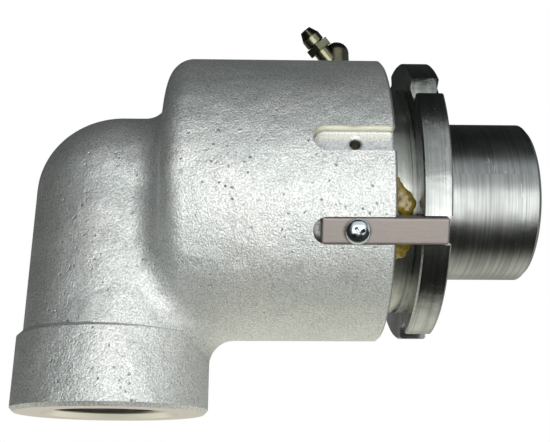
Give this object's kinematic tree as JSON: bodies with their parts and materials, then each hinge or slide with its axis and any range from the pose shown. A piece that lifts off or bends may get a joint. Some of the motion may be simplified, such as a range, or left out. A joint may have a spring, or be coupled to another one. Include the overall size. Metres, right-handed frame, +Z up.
{
  "type": "hydraulic rotary union",
  "caption": "Elbow-inlet rotary union: cast housing with a threaded port, rotor turning in ball bearings behind V-ring packing, locked ring nut and angled grease nipple",
  "frame": {"origin": "centre of the inlet thread's mouth, 1.6 mm inside the port face of the housing", "axes": "+X along the rotor's axis towards its free end, +Z up from the inlet port into the elbow, -Z the way the inlet pipe leaves"},
  "size_m": [0.1735, 0.1, 0.1438],
  "materials": {
    "ball_steel": "polished steel",
    "bar_steel": "matt ground flat bar",
    "bearing_steel": "ground and polished bearing steel",
    "cage_steel": "pressed steel",
    "circlip_steel": "blackened spring steel",
    "housing_casting": "zinc plated grey casting, satin",
    "inner_steel": "turned steel",
    "nipple_zinc": "olive chromated steel",
    "nut_zinc": "bright zinc plated, turned and milled",
    "packing_rubber": "fabric reinforced rubber",
    "rotor_steel": "zinc plated, finely turned",
    "screw_zinc": "bright zinc plated",
    "seal_case_steel": "pressed steel",
    "seal_rubber": "nitrile rubber",
    "spring_steel": "spring wire"
  },
  "bodies": {
    "housing": {"housing": "housing_casting", "ring_nut": "nut_zinc", "lock_bar": "bar_steel", "lock_screw": "screw_zinc", "grease_nipple": "nipple_zinc", "check_spring": "spring_steel", "seal_case": "seal_case_steel", "seal_lip": "seal_rubber", "garter_spring": "spring_steel", "outer_spacer": "inner_steel", "grease_ring": "inner_steel", "packing_header": "inner_steel", "packing_support": "inner_steel", "packing_circlip": "circlip_steel", "bearing_a_outer_ring": "bearing_steel", "bearing_b_outer_ring": "bearing_steel", "v_ring_1": "packing_rubber", "v_ring_2": "packing_rubber", "v_ring_3": "packing_rubber"},
    "rotor": {"rotor": "rotor_steel", "bearing_a_inner_ring": "bearing_steel", "bearing_b_inner_ring": "bearing_steel", "inner_spacer": "inner_steel", "rotor_circlip": "circlip_steel"},
    "cage_a": {"bearing_a_balls": "ball_steel", "bearing_a_cage": "cage_steel"},
    "cage_b": {"bearing_b_balls": "ball_steel", "bearing_b_cage": "cage_steel"},
    "check_ball": {"check_ball": "ball_steel"}
  },
  "joints": [
    {"name": "rotor_spin", "type": "hinge", "parent": "housing", "child": "rotor", "pos_m": [0.1, 0, 0.0734], "axis": [1, 0, 0], "continuous": true},
    {"name": "cage_a_spin", "type": "hinge", "parent": "housing", "child": "cage_a", "pos_m": [0.067, 0, 0.0734], "axis": [1, 0, 0], "continuous": true},
    {"name": "cage_b_spin", "type": "hinge", "parent": "housing", "child": "cage_b", "pos_m": [0.0466, 0, 0.0734], "axis": [1, 0, 0], "continuous": true},
    {"name": "check_ball_lift", "type": "slide", "parent": "housing", "child": "check_ball", "axis": [0.6409, 0.2988, -0.7071], "range_m": [0, 0.001], "stiffness_N_per_m": 40, "springref_m": -0.0005, "deforming": ["check_spring"]}
  ],
  "couplings": [
    {"joint": "cage_a_spin", "follows": "rotor_spin", "ratio": 0.42725},
    {"joint": "cage_b_spin", "follows": "rotor_spin", "ratio": 0.42725}
  ]
}
